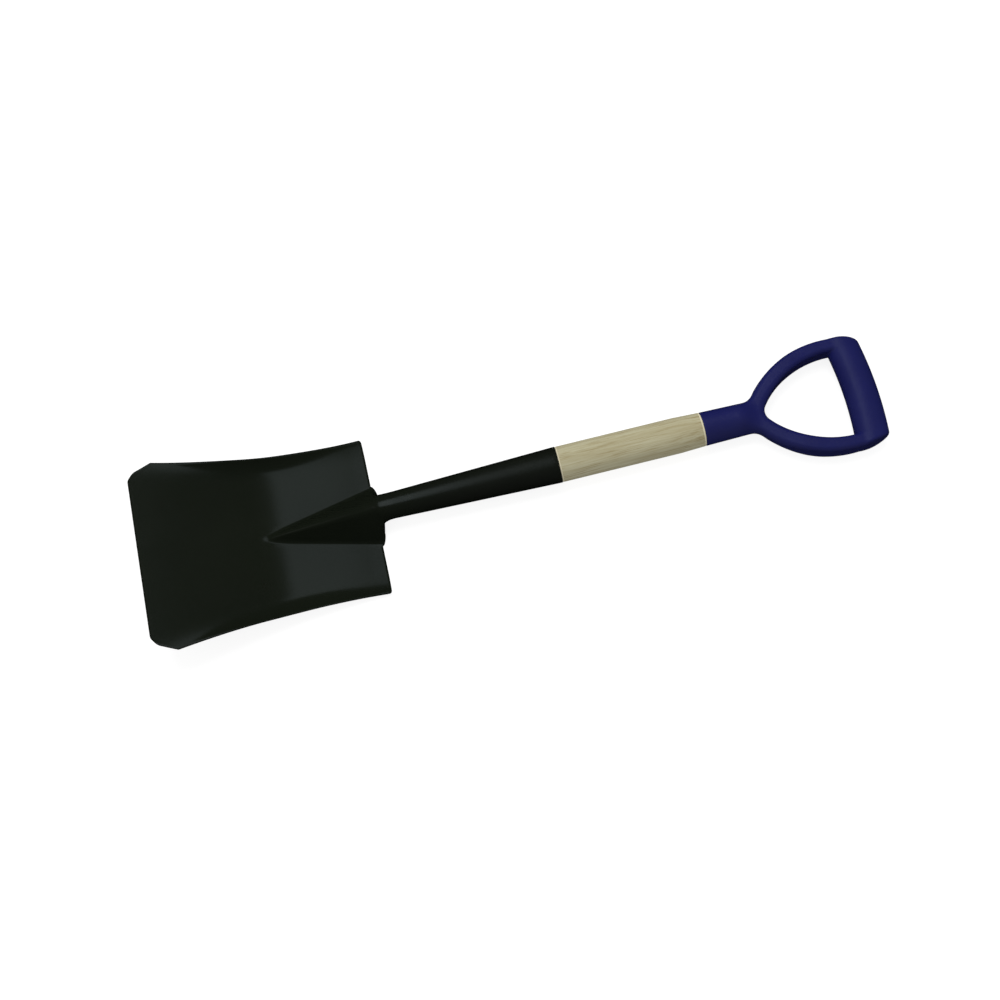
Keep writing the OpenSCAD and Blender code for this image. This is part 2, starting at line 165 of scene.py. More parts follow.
# Spacing of the grip's grid, its finer spacing by the socket's mouth and how far that reaches,
# and the room that the grid leaves beside the grip and above it
GRIP_STEP = 1.3
MOUTH_STEP = 0.6
MOUTH_REACH = 3.0
GRID_ROOM = 2.0
GRID_HEADROOM = 5.0
# The least square of the slope that counts, and the longest move, when a point is led to the surface
LEAST_STEEPNESS = 0.2
LONGEST_MOVE = 0.5
# Share of the way to the middle of its neighbours that a point is moved to even them out
EVENING = 0.5
# A number that is only there so that nothing is divided by zero
TINY = 1e-6
# Width of the painted highlight: a lighter ring on the wood at each socket, where the edge catches
# light
HIGHLIGHT_RING_WIDTH = 1.4


# ---- Frame ----

def tool_matrix():
    """The tool's own frame in the shared frame, from the clip's mount on the shaft's axis."""
    clip = next(m for m in frame["record"]["mounts"] if m["name"] == "shaft_clip")
    along = Vector(clip["axis"]).normalized()
    across = Vector((0, 1, 0))
    up = along.cross(across)
    origin = Vector(clip["pos_m"]) + along * (CLIP_AT * MM)
    return Matrix.Translation(origin) @ Matrix((along, across, up)).transposed().to_4x4()


TOOL = tool_matrix()


def placed(points):
    """Points in millimetres in the tool's frame, as metres in the shared frame."""
    turn = np.array(TOOL.to_3x3())
    return np.asarray(points, float) * MM @ turn.T + np.array(TOOL.translation)


def placed_one(point):
    """One point in millimetres in the tool's frame, as a vector in the shared frame."""
    return Vector(placed([point])[0])


def mesh_piece(name, points, faces, material):
    """A smooth-shaded piece from points in millimetres in the tool's frame."""
    mesh = bpy.data.meshes.new(name)
    mesh.from_pydata(placed(points).tolist(), [], [tuple(map(int, f)) for f in faces])
    mesh.validate()
    mesh.shade_smooth()
    mesh.materials.append(material)
    piece = bpy.data.objects.new(name, mesh)
    bpy.context.scene.collection.objects.link(piece)
    return piece


def limit(v, lo, hi):
    """Numbers held between two limits."""
    return np.minimum(np.maximum(v, lo), hi)


def mix(a, b, w):
    """The value that lies the share w of the way from a to b."""
    return a + (b - a) * w


def ease(w):
    """Smooth step from 0 to 1."""
    w = limit(w, 0, 1)
    return w * w * (3 - 2 * w)


# ---- Shape of the blade ----
# s is the distance in front of the shoulders: positive over the pan, negative along the socket.

def outline_half(s):
    """Half-width of the blade before its mouth corners are cut."""
    half_waist = WAIST_WIDTH / 2
    swell = ((s - WAIST_AT) / (BLADE_LENGTH - CORNER_LENGTH - WAIST_AT)) ** 2
    return half_waist + (BLADE_WIDTH / 2 - half_waist) * swell


def edge_half(s):
    """Half-width of the finished blade, with square corners."""
    corner_s = BLADE_LENGTH - CORNER_LENGTH
    cut = BLADE_WIDTH / 2 - (s - corner_s) * CORNER_WIDTH / CORNER_LENGTH
    return np.where(s <= corner_s, outline_half(s), cut)


def pan_z(s):
    """Height of the pan's centre line."""
    bend = BEND_END - BEND_START
    run = limit(s - BEND_START, 0, bend) ** 2 / (2 * bend) + np.maximum(s - BEND_END, 0)
    steeper = math.tan(MOUTH_SLOPE) - math.tan(HEEL_SLOPE)
    return -PAN_DROP + s * math.tan(HEEL_SLOPE) + run * steeper


def sheet_z(s, y):
    """Height of the pan away from its centre line, with its sides turned up."""
    swell = SIDE_SWELL * np.sin(np.pi * s / BLADE_LENGTH) ** 2
    run_out = 1 - limit(s / BLADE_LENGTH, 0, 1) ** RUN_OUT_POWER
    up = np.maximum(0, (y - outline_half(s) + SIDE_STRIP) / SIDE_STRIP) ** 2
    return pan_z(s) + (SIDE_HEIGHT + swell) * run_out * up


# Columns of points over the frog's leg, its fillet, the flat of the pan and the turned-up side
LEG_COLUMNS = 16
FILLET_COLUMNS = 8
FLAT_COLUMNS = 10
STRIP_COLUMNS = 9
SIDE_COLUMNS = FLAT_COLUMNS + STRIP_COLUMNS


def crest_rise(s):
    """Height of the frog's crest above the pan, running out softly at its tip."""
    ahead = max(s, 0.0)
    fall = (CREST_HEIGHT - pan_z(FROG_TIP)) / FROG_TIP
    rise = CREST_HEIGHT - s * fall - pan_z(ahead) - TIP_SINK * ahead / FROG_TIP
    fading = limit(rise + TIP_SOFT, 0, 2 * TIP_SOFT) ** 2 / (4 * TIP_SOFT)
    return fading + max(rise - TIP_SOFT, 0.0)


def frog_section(s):
    """Half section of the frog: a round crest, a straight leg and a fillet onto the pan."""
    left = max(1 - s / FROG_LENGTH, 0.0)
    half = max(FROG_WIDTH / 2 * left, FROG_MIN)
    base = pan_z(max(s, 0.0))
    rad = CREST_MIN + CREST_RADIUS * left
    centre = base + crest_rise(s) - rad
    reach = math.hypot(half, base - centre)
    swing = math.atan2(half, base - centre) - math.acos(min(rad / reach, 1.0))
    arc = rad * swing
    leg = math.sqrt(max(reach ** 2 - rad ** 2, 0.0))
    fillet = min(CREASE_FILLET, CREASE_SHARE * leg)
    run = np.linspace(0, arc + leg - fillet, LEG_COLUMNS + 1)
    top = np.array([rad * math.sin(swing), centre + rad * math.cos(swing)])
    foot = np.array([half, base])
    turn = np.minimum(run, arc) / rad
    share = np.maximum(run - arc, 0)[:, None] / leg
    crest = np.stack([rad * np.sin(turn), centre + rad * np.cos(turn)], 1)
    upper = np.where(run[:, None] < arc, crest, mix(top, foot, share))
    u = np.linspace(0, 1, FILLET_COLUMNS + 1)[1:, None]
    outward = np.array([1, 0])
    lower = foot + (top - foot) / leg * fillet * (1 - u) ** 2 + outward * fillet * u ** 2
    return np.concatenate([upper, lower])


def soft_height(s, y):
    """Height of the sheet about the frog's tip, evened out over a small round patch."""
    offsets = SOFTNESS * np.linspace(-SOFT_REACH, SOFT_REACH, SOFT_POINTS)
    weights = np.exp(-(offsets / SOFTNESS) ** 2 / 2)
    weights /= weights.sum()
    total = np.zeros(len(y))
    for step, share in zip(offsets, weights):
        section = frog_section(s + step)
        at = np.abs(y[:, None] + offsets)
        level = np.interp(at, section[:, 0], section[:, 1], right=pan_z(s + step))
        total += share * level @ weights
    return total


def tip_section(s):
    """Half section of the frog where its tip softens into the pan."""
    frog = frog_section(s)
    spread = max(SOFT_HALF / frog[-1, 0], 1.0)
    y = frog[:, 0] * spread
    level = np.interp(y, frog[:, 0], frog[:, 1])
    return np.stack([y, mix(level, soft_height(s, y), ease((s - SOFT_FROM) / SOFT_RUN))], 1)


def socket_radius(s):
    """Radius of the steel socket's outside, which is even along the neck and then widens."""
    share = max(0.0, -s - NECK_START) / (SOCKET_LENGTH - NECK_START)
    return mix(NECK_DIAMETER, SOCKET_DIAMETER, share) / 2


def closing(s):
    """Share of the way from the frog's section to the round socket, behind the shoulders.

    The sides roll up fast, and the little that is left to close then dies away along the neck.
    """
    roll_end = ROLL_LENGTH * (1 - ROLL_LEFT ** ROLL_POWER) ** (1 / ROLL_POWER)
    if -s < roll_end:
        return 1 - (1 - (-s / ROLL_LENGTH) ** ROLL_POWER) ** (1 / ROLL_POWER)
    return 1 - ROLL_LEFT * (1 - limit((-s - roll_end) / (NECK_START - roll_end), 0, 1)) ** 3


def hump_section(s):
    """Half section of the raised part: the frog in front of the shoulders, the socket behind."""
    if s > SOFT_FROM:
        return tip_section(s)
    frog = frog_section(s)
    if s >= 0:
        return frog
    legs = np.linalg.norm(np.diff(frog, axis=0), axis=1)
    share = np.concatenate([[0], np.cumsum(legs)]) / legs.sum()
    turn = share * (math.pi - SEAM_ANGLE)
    ring = socket_radius(s) * np.stack([np.sin(turn), np.cos(turn)], 1)
    return mix(frog, ring, closing(s))


def round_corner(end_depth, side_depth, radius):
    """Rounds a square corner: inward distances from its two edges, moved so it becomes an arc."""
    u = limit(1 - end_depth / radius, 0, 1)
    v = limit(1 - side_depth / radius, 0, 1)
    inside = (end_depth < radius) & (side_depth < radius)
    end_round = radius * (1 - u * np.sqrt(1 - v * v / 2))
    side_round = radius * (1 - v * np.sqrt(1 - u * u / 2))
    return np.where(inside, end_round, end_depth), np.where(inside, side_round, side_depth)


def pan_row(s):
    """Half of one row across the pan: its points from the crest to the turned-up side."""
    hump = hump_section(s)
    start = hump[-1, 0]
    edge = float(edge_half(s))
    flat = np.linspace(start, edge - SIDE_STRIP, FLAT_COLUMNS + 1)[1:]
    strip = np.linspace(edge - SIDE_STRIP, edge, STRIP_COLUMNS + 1)[1:]
    y = np.concatenate([flat, strip])
    depth = edge - y
    at = np.full(len(y), s)
    at, depth = round_corner(at, depth, SHOULDER_ROUND)
    front, depth = round_corner(BLADE_LENGTH - at, depth, MOUTH_ROUND)
    at = BLADE_LENGTH - front
    y = edge - depth
    outer = np.stack([at, y, sheet_z(at, y)], 1)
    inner = np.stack([np.full(len(hump), s), hump[:, 0], hump[:, 1]], 1)
    return np.concatenate([inner, outer])


def whole_row(half):
    """Mirrors a half row about the centre line, as points in the tool's frame."""
    left = half[:0:-1] * [1, -1, 1]
    row = np.concatenate([left, half])
    return np.stack([SHOULDER_X - row[:, 0], row[:, 1], row[:, 2]], 1)


def neck_row(s):
    """A row across the neck or the socket, from seam to seam."""
    hump = hump_section(s)
    return whole_row(np.stack([np.full(len(hump), s), hump[:, 0], hump[:, 1]], 1))


def stations(*stops):
    """Evenly spaced stations between stops given as (from, to, count), with the last stop's end."""
    runs = [np.linspace(a, b, n, endpoint=False) for a, b, n in stops]
    return np.append(np.concatenate(runs), stops[-1][1])


def grid_normals(grid):
    """Unit normals of a grid of points, from its own rows and columns."""
    along = np.gradient(grid, axis=0)
    across = np.gradient(grid, axis=1)
    n = np.cross(along, across)
    return n / np.linalg.norm(n, axis=2, keepdims=True)


def mend_corners(normals, inward=2):
    """Takes the normals at a grid's corners from further in, where the rows aren't folded flat."""
    last_row, last_column = normals.shape[0] - 1, normals.shape[1] - 1
    for row, inner_row in ((0, inward), (last_row, last_row - inward)):
        for column, inner_column in ((0, inward), (last_column, last_column - inward)):
            normals[row, column] = normals[inner_row, inner_column]


def rim_loop(faces):
    """The one loop of edges that only one face uses, in the order of the faces' turning."""
    directed = {(f[k], f[(k + 1) % 4]) for f in faces for k in range(4)}
    onward = {a: b for a, b in directed if (b, a) not in directed}
    start = min(onward)
    loop = [start]
    while onward[loop[-1]] != start:
        loop.append(onward[loop[-1]])
    return np.array(loop)


def sheet_mesh(face, back, faces):
    """Closes a face and a back into one sheet with a rounded rim."""
    loop = rim_loop(faces)
    tangent = np.roll(face[loop], -1, 0) - np.roll(face[loop], 1, 0)
    through = (face[loop] - back[loop]) / 2
    out = np.cross(tangent, through)
    out /= np.linalg.norm(out, axis=1, keepdims=True)
    middle = (face[loop] + back[loop]) / 2
    count = len(face)
    points = [face.copy(), back.copy()]
    points[0][loop] -= out * RIM_REACH
    points[1][loop] -= out * RIM_REACH
    rings = [loop]
    for k in range(1, RIM_STEPS):
        turn = math.pi * k / RIM_STEPS
        rings.append(np.arange(len(loop)) + 2 * count + (k - 1) * len(loop))
        points.append(middle + through * math.cos(turn) - out * RIM_REACH * (1 - math.sin(turn)))
    rings.append(loop + count)
    quads = [tuple(f) for f in faces]
    quads += [tuple(v + count for v in reversed(f)) for f in faces]
    for a, b in zip(rings, rings[1:]):
        for k in range(len(loop)):
            n = (k + 1) % len(loop)
            quads.append((a[n], a[k], b[k], b[n]))
    return np.concatenate(points), quads


def blade_rows():
    """Rows of points over the pan, from the mouth to the shoulders, and over the neck and socket."""
    pan_s = stations(
        (BLADE_LENGTH, BLADE_LENGTH - MOUTH_ROUND, 8),
        (BLADE_LENGTH - MOUTH_ROUND, BEND_END, 25),
        (BEND_END, BEND_START, 40),
        (BEND_START, 0, 38),
    )
    neck_s = -stations(
        (FIRST_ROW, ROLL_LENGTH, 14),
        (ROLL_LENGTH, NECK_START, 10),
        (NECK_START, SOCKET_LENGTH, 32),
    )
    pan = np.array([whole_row(pan_row(s)) for s in pan_s])
    heel = pan[-1, SIDE_COLUMNS:-SIDE_COLUMNS]
    neck = np.array([heel] + [neck_row(s) for s in neck_s])
    return pan, neck


def back_of(face, normal):
    """The back of the sheet: straight below the pan, square behind the neck and socket."""
    s = SHOULDER_X - face[:, 0:1]
    square = limit(1 - s / SQUARE_RUN, 0, 1)
    below = np.array([0, 0, -1]) * SHEET / np.maximum(normal[:, 2:3], LEAST_UPRIGHT)
    return face + mix(below, -normal * SHEET, square)


def blade_faces(pan_size, neck_size):
    """Quads over the pan's rows and the neck's narrower ones, which start at the pan's last row."""
    pan_rows, wide = pan_size
    neck_rows, narrow = neck_size

    def number(row, column):
        if row < pan_rows:
            return row * wide + column
        return pan_rows * wide + (row - pan_rows) * narrow + column - SIDE_COLUMNS

    heel = pan_rows - 1
    cells = [(i, j) for i in range(heel) for j in range(wide - 1)]
    neck_columns = range(SIDE_COLUMNS, SIDE_COLUMNS + narrow - 1)
    cells += [(i, j) for i in range(heel, heel + neck_rows - 1) for j in neck_columns]
    around = ((0, 0), (1, 0), (1, 1), (0, 1))
    return [tuple(number(i + di, j + dj) for di, dj in around) for i, j in cells]


def blade_mesh():
    """The pan, frog, neck and socket as one sheet of steel."""
    pan, neck = blade_rows()
    pan_normals = grid_normals(pan)
    mend_corners(pan_normals)
    neck_normals = grid_normals(neck)
    face = np.concatenate([pan.reshape(-1, 3), neck[1:].reshape(-1, 3)])
    normal = np.concatenate([pan_normals.reshape(-1, 3), neck_normals[1:].reshape(-1, 3)])
    return sheet_mesh(face, back_of(face, normal), blade_faces(pan.shape[:2], neck.shape[:2]))


# ---- Shape of the grip ----
# The grip is the zero level of a distance field, so that its parts run into each other smoothly.

def norm2(x, y):
    """Length of a vector with two parts."""
    return np.sqrt(x * x + y * y)


def round_union(a, b, radius):
    """Union of two fields with a fillet of that radius."""
    gap = norm2(np.maximum(radius - a, 0), np.maximum(radius - b, 0))
    return np.maximum(radius, np.minimum(a, b)) - gap


def round_cut(a, b, radius):
    """Intersection of two fields with the edge rounded to that radius."""
    over = norm2(np.maximum(radius + a, 0), np.maximum(radius + b, 0))
    return np.minimum(-radius, np.maximum(a, b)) + over


def within_arc(x, y, centre, start, end):
    """Where a point sees the centre of an arc through the arc itself."""
    turn = np.degrees(np.arctan2(y - centre[1], x - centre[0]))
    return (turn >= start) & (turn <= end)


def grip_plan():
    """Centres and angles of the arcs that make the grip's plan."""
    arm = np.array([OUTER_ARC_X, GRIP_WIDTH / 2 - OUTER_ARC])
    fillet_y = GRIP_NECK_RADIUS + YOKE_FILLET
    rise = fillet_y - arm[1]
    fillet = np.array([arm[0] - math.sqrt((OUTER_ARC + YOKE_FILLET) ** 2 - rise ** 2), fillet_y])
    inner = np.array([INNER_ARC_X, OPENING_WIDTH / 2 - INNER_ARC])
    crotch_x = inner[0] - math.sqrt((INNER_ARC - CROTCH_RADIUS) ** 2 - inner[1] ** 2)
    return {
        "arm": arm,
        "bow": np.array([GRIP_LENGTH - BOX_INSET - BAR_BOW, 0.0]),
        "fillet": fillet,
        "fillet_to": math.degrees(math.atan2(arm[1] - fillet[1], arm[0] - fillet[0])),
        "inner": inner,
        "crotch": np.array([crotch_x, 0.0]),
        "crotch_from": math.degrees(math.atan2(-inner[1], crotch_x - inner[0])),
    }


PLAN = grip_plan()


def arm_arc(x, y):
    """Distance outside the arc of the arms' outer edges, for y >= 0."""
    return norm2(x - PLAN["arm"][0], y - PLAN["arm"][1]) - OUTER_ARC


def bar_line(x, y):
    """Distance beyond the bowed centre line of the bar."""
    return norm2(x - PLAN["bow"][0], y - PLAN["bow"][1]) - (BAR_BOW - BAR_DEPTH / 2)


def outer_plan(x, y):
    """Distance outside the outline of the yoke and arms, which end inside the bar, for y >= 0."""
    d = np.minimum(arm_arc(x, y), np.maximum(y - GRIP_NECK_RADIUS, x - PLAN["crotch"][0]))
    fillet = YOKE_FILLET - norm2(x - PLAN["fillet"][0], y - PLAN["fillet"][1])
    return np.where(within_arc(x, y, PLAN["fillet"], -90, PLAN["fillet_to"]), fillet, d)


def opening_plan(x, y):
    """Distance outside the hand opening, for y >= 0."""
    d = norm2(x - PLAN["inner"][0], y - PLAN["inner"][1]) - INNER_ARC
    crotch = norm2(x - PLAN["crotch"][0], y) - CROTCH_RADIUS
    return np.where(within_arc(x, y, PLAN["crotch"], PLAN["crotch_from"], 180), crotch, d)


def arms_field(x, y, z):
    """The two arms and the yoke: the plan, as a slab with rounded edges."""
    plan = np.maximum(outer_plan(x, y), -opening_plan(x, y))
    share = ease((x - YOKE_FROM) / (YOKE_TO - YOKE_FROM))
    half = mix(YOKE_HALF, ARM_THICKNESS / 2, share)
    radius = mix(YOKE_ROUND, ARM_ROUND, share)
    side = plan + radius
    rise = np.abs(z) - half + radius
    outside = norm2(np.maximum(side, 0), np.maximum(rise, 0))
    slab = np.minimum(np.maximum(side, rise), 0) + outside - radius
    return np.maximum(slab, bar_line(x, y))


def socket_field(x, y, z):
    """Distance outside the round socket, which narrows towards the yoke."""
    radius = mix(GRIP_SOCKET_DIAMETER / 2, GRIP_NECK_RADIUS, limit(x / GRIP_SOCKET_LENGTH, 0, 1))
    return norm2(y, z) - radius


def seat_field(x, y, z):
    """The seat of the grip's screw, sunk into the back of the socket and narrowing inwards."""
    back = -mix(GRIP_SOCKET_DIAMETER / 2, GRIP_NECK_RADIUS, SEAT_AT / GRIP_SOCKET_LENGTH)
    depth = z - back
    radius = SEAT_DIAMETER / 2 - SEAT_TAPER * np.maximum(depth, 0)
    return np.maximum(norm2(x - SEAT_AT, y) - radius, depth - SEAT_DEPTH)


def bar_field(x, y, z):
    """The bowed bar, elliptical in section, its ends cut along the arms' outer edges."""
    across = bar_line(x, y)
    a = BAR_DEPTH / 2
    b = BAR_HEIGHT / 2
    k0 = norm2(across / a, z / b)
    k1 = norm2(across / a ** 2, z / b ** 2)
    section = k0 * (k0 - 1) / np.maximum(k1, TINY)
    return round_cut(section, arm_arc(x, y), BAR_END_ROUND)


def grip_field(p):
    """Distance outside the moulded grip."""
    x, z = p[:, 0], p[:, 2]
    y = np.abs(p[:, 1])
    share = ease((x - MORPH_FROM) / (MORPH_TO - MORPH_FROM))
    body = mix(socket_field(x, y, z), arms_field(x, y, z), share)
    body = round_union(body, bar_field(x, y, z), BAR_BLEND)
    body = round_cut(body, -x, MOUTH_EDGE)
    bore = np.maximum(norm2(y, z) - BORE_RADIUS, x - BORE_LENGTH)
    return np.maximum(np.maximum(body, -bore), -seat_field(x, y, z))


def spaced(lo, hi, step, fine, fine_to):
    """Grid lines from lo to hi, finer up to fine_to."""
    first = np.arange(lo, fine_to, fine)
    return np.concatenate([first, np.arange(first[-1] + fine, hi + step, step)])


def cell_edges():
    """The twelve edges of a cell, as pairs of its corners."""
    corners = [(i, j, k) for i in (0, 1) for j in (0, 1) for k in (0, 1)]
    return [(a, b) for a in corners for b in corners if sorted(np.subtract(b, a)) == [0, 0, 1]]


def at_corner(array, corner):
    """The part of an array over a grid that holds the values at one corner of every cell."""
    return array[tuple(slice(start, start + n - 1) for start, n in zip(corner, array.shape))]


def surface_points(grid, value):
    """One point for each cell that the zero level crosses, and each cell's number of its point."""
    cells = tuple(n - 1 for n in value.shape)
    total = np.zeros(cells + (3,))
    count = np.zeros(cells)
    for a, b in cell_edges():
        value_a, value_b = at_corner(value, a), at_corner(value, b)
        crossed = (value_a < 0) != (value_b < 0)
        share = np.where(crossed, value_a / np.where(crossed, value_a - value_b, 1), 0)[..., None]
        crossing = mix(at_corner(grid, a), at_corner(grid, b), share)
        total += np.where(crossed[..., None], crossing, 0)
        count += crossed
    used = count > 0
    number = np.full(cells, -1)
    number[used] = np.arange(used.sum())
    return total[used] / count[used][:, None], number


def crossing_quads(inside, number, axis):
    """Quads round the grid's edges along one axis, where they pass through the surface."""
    u, v = [k for k in range(3) if k != axis]
    lower = [slice(1, -1)] * 3
    lower[axis] = slice(0, -1)
    upper = list(lower)
    upper[axis] = slice(1, None)
    spots = np.argwhere(inside[tuple(lower)] != inside[tuple(upper)])
    spots[:, [u, v]] += 1
    ring = []
    for du, dv in ((1, 1), (0, 1), (0, 0), (1, 0)):
        cell = spots.copy()
        cell[:, u] -= du
        cell[:, v] -= dv
        ring.append(number[tuple(cell.T)])
    quads = np.stack(ring, 1)
    # A quad is turned over where its edge enters the solid, and along y where it leaves it
    over = ~inside[tuple(spots.T)]
    if axis == 1:
        over = ~over
    quads[over] = quads[over][:, ::-1]
    return quads


def level_surface(field, axes):
    """The zero level of a field on a grid, as points and the quads between them."""
    grid = np.stack(np.meshgrid(*axes, indexing="ij"), -1)
    value = field(grid.reshape(-1, 3)).reshape(grid.shape[:3])
    points, number = surface_points(grid, value)
    quads = [crossing_quads(value < 0, number, axis) for axis in range(3)]
    return points, np.concatenate(quads)


def settle(points, field, rounds=4, probe=0.05):
    """Moves points onto the zero level of a field."""
    for _ in range(rounds):
        steps = np.eye(3) * probe
        slope = [(field(points + step) - field(points - step)) / (2 * probe) for step in steps]
        slope = np.stack(slope, 1)
        steepness = np.maximum((slope ** 2).sum(1, keepdims=True), LEAST_STEEPNESS)
        move = field(points)[:, None] * slope / steepness
        points = points - limit(move, -LONGEST_MOVE, LONGEST_MOVE)
    return points


def relax(points, faces, field, rounds=3):
    """Evens out the spacing of the points, keeping them on the surface."""
    edges = np.concatenate([faces[:, [k, (k + 1) % 4]] for k in range(4)])
    for _ in range(rounds):
        total = np.zeros_like(points)
        count = np.zeros(len(points))
        np.add.at(total, edges[:, 0], points[edges[:, 1]])
        np.add.at(count, edges[:, 0], 1)
        points = mix(points, total / np.maximum(count, 1)[:, None], EVENING)
        points = settle(points, field, 1)
    return settle(points, field, 2)


def grip_mesh():
    """The whole moulded grip: socket, yoke, two arms and bar."""
    half_width = GRIP_WIDTH / 2 + GRID_ROOM
    half_height = BAR_HEIGHT / 2 + GRID_HEADROOM
    axes = (
        spaced(-GRID_ROOM, GRIP_LENGTH + GRID_ROOM, GRIP_STEP, MOUTH_STEP, MOUTH_REACH),
        np.arange(-half_width, half_width + GRIP_STEP, GRIP_STEP),
        np.arange(-half_height, half_height + GRIP_STEP, GRIP_STEP),
    )
    points, faces = level_surface(grip_field, axes)
    points = settle(points, grip_field)
    points = relax(points, faces, grip_field)
    return points, faces


# ---- Materials ----

def srgb(r, g, b):
    """A colour given in the usual 0 to 255 values, as linear light."""
    def linear(v):
        v /= 255
        return v / 12.92 if v <= 0.04045 else ((v + 0.055) / 1.055) ** 2.4
    return (linear(r), linear(g), linear(b), 1)


class Nodes:
    """A material's node tree, with short calls to build it."""

    def __init__(self, name):
        self.material = bpy.data.materials.new(name)
        self.material.use_nodes = True
        self.tree = self.material.node_tree
        self.shader = self.tree.nodes["Principled BSDF"]
        self.place = self.add("ShaderNodeTexCoord").outputs["Object"]

    def add(self, kind, **settings):
        """A new node of that kind."""
        node = self.tree.nodes.new(kind)
        for key, value in settings.items():
            setattr(node, key, value)
        return node

    def link(self, source, target):
        """Leads one node's output into another's input."""
        self.tree.links.new(source, target)

    def stretched(self, scale):
        """The place on the tool, multiplied by a scale along each axis."""
        node = self.add("ShaderNodeMapping")
        node.inputs["Scale"].default_value = scale
        self.link(self.place, node.inputs["Vector"])
        return node.outputs["Vector"]

    def noise(self, vector, scale, detail=3.0, roughness=0.5, distortion=0.0):
        """Noise from 0 to 1, read at a place."""
        node = self.add("ShaderNodeTexNoise")
        node.inputs["Scale"].default_value = scale
        node.inputs["Detail"].default_value = detail
        node.inputs["Roughness"].default_value = roughness
        node.inputs["Distortion"].default_value = distortion
        self.link(vector, node.inputs["Vector"])
        return node.outputs["Fac"]

    def ramp(self, factor, stops):
        """Colours that change along stops given as (place, colour)."""
        node = self.add("ShaderNodeValToRGB")
        ramp = node.color_ramp
        while len(ramp.elements) < len(stops):
            ramp.elements.new(1.0)
        for element, (position, colour) in zip(ramp.elements, stops):
            element.position = position
            element.color = colour
        self.link(factor, node.inputs["Fac"])
        return node.outputs["Color"]

    def span(self, factor, low, high):
        """A factor from 0 to 1, spread from low to high."""
        node = self.add("ShaderNodeMapRange")
        node.inputs["To Min"].default_value = low
        node.inputs["To Max"].default_value = high
        self.link(factor, node.inputs["Value"])
        return node.outputs["Result"]

    def mixed(self, factor, a, b, blend="MIX"):
        """Two colours mixed. Their sockets go by number, because the node's names repeat."""
        node = self.add("ShaderNodeMix", data_type="RGBA", blend_type=blend)
        if isinstance(factor, float):
            node.inputs["Factor"].default_value = factor
        else:
            self.link(factor, node.inputs["Factor"])
        self.link(a, node.inputs[6])
        self.link(b, node.inputs[7])
        return node.outputs[2]

    def total(self, a, b):
        """The sum of two values."""
        node = self.add("ShaderNodeMath", operation="ADD")
        self.link(a, node.inputs[0])
        self.link(b, node.inputs[1])
        return node.outputs[0]

    def x(self):
        """The place along the tool, in metres in the shared frame."""
        apart = self.add("ShaderNodeSeparateXYZ")
        self.link(self.place, apart.inputs[0])
        return apart.outputs["X"]

    def along(self, start, end, low, high):
        """A value that goes from low to high between two places along the tool."""
        node = self.add("ShaderNodeMapRange")
        node.inputs["From Min"].default_value = placed_one((start, 0, 0)).x
        node.inputs["From Max"].default_value = placed_one((end, 0, 0)).x
        node.inputs["To Min"].default_value = low
        node.inputs["To Max"].default_value = high
        self.link(self.x(), node.inputs["Value"])
        return node.outputs["Result"]

    def ends(self, width):
        """1 on the painted highlight ring at each end of the visible shaft, 0 elsewhere."""
        rings = []
        for joint in (-BARE_WOOD, 0):
            near = self.add("ShaderNodeMath", operation="COMPARE")
            near.inputs[1].default_value = placed_one((joint, 0, 0)).x
            near.inputs[2].default_value = width * MM
            self.link(self.x(), near.inputs[0])
            rings.append(near.outputs[0])
        return self.total(*rings)

    def bump(self, height, distance, strength, under=None):
        """Relief from a height, on top of the relief under it."""
        node = self.add("ShaderNodeBump")
        node.inputs["Distance"].default_value = distance
        node.inputs["Strength"].default_value = strength
        self.link(height, node.inputs["Height"])
        if under is not None:
            self.link(under, node.inputs["Normal"])
        return node.outputs["Normal"]


# Where, along the tool, the enamel starts and stops growing duller towards the grip, and where
# its reflection grows stronger across the shoulders
DULL_FROM = -360.0
DULL_TO = -230.0
SHEEN_FROM = -370.0
SHEEN_TO = -340.0


def painted_steel():
    """Black semi-gloss enamel: slightly uneven, with faint orange peel."""
    m = Nodes("black_enamel")
    patches = m.noise(m.place, scale=9, detail=4, roughness=0.6)
    colour = m.ramp(patches, [(0.3, srgb(17, 21, 15)), (0.7, srgb(20, 24, 17))])
    m.link(colour, m.shader.inputs["Base Color"])
    cloud = m.noise(m.place, scale=28, detail=4, roughness=0.55)
    dulling = m.along(DULL_FROM, DULL_TO, low=0, high=0.24)
    roughness = m.total(m.span(cloud, low=0.15, high=0.22), dulling)
    m.link(roughness, m.shader.inputs["Roughness"])
    peel = m.noise(m.place, scale=420, detail=2)
    waves = m.noise(m.place, scale=45, detail=2)
    relief = m.bump(waves, distance=0.0002, strength=0.25)
    relief = m.bump(peel, distance=0.00004, strength=0.35, under=relief)
    m.link(relief, m.shader.inputs["Normal"])
    sheen = m.along(SHEEN_FROM, SHEEN_TO, low=0.26, high=0.5)
    m.link(sheen, m.shader.inputs["Specular IOR Level"])
    m.shader.inputs["IOR"].default_value = 1.5
    return m.material


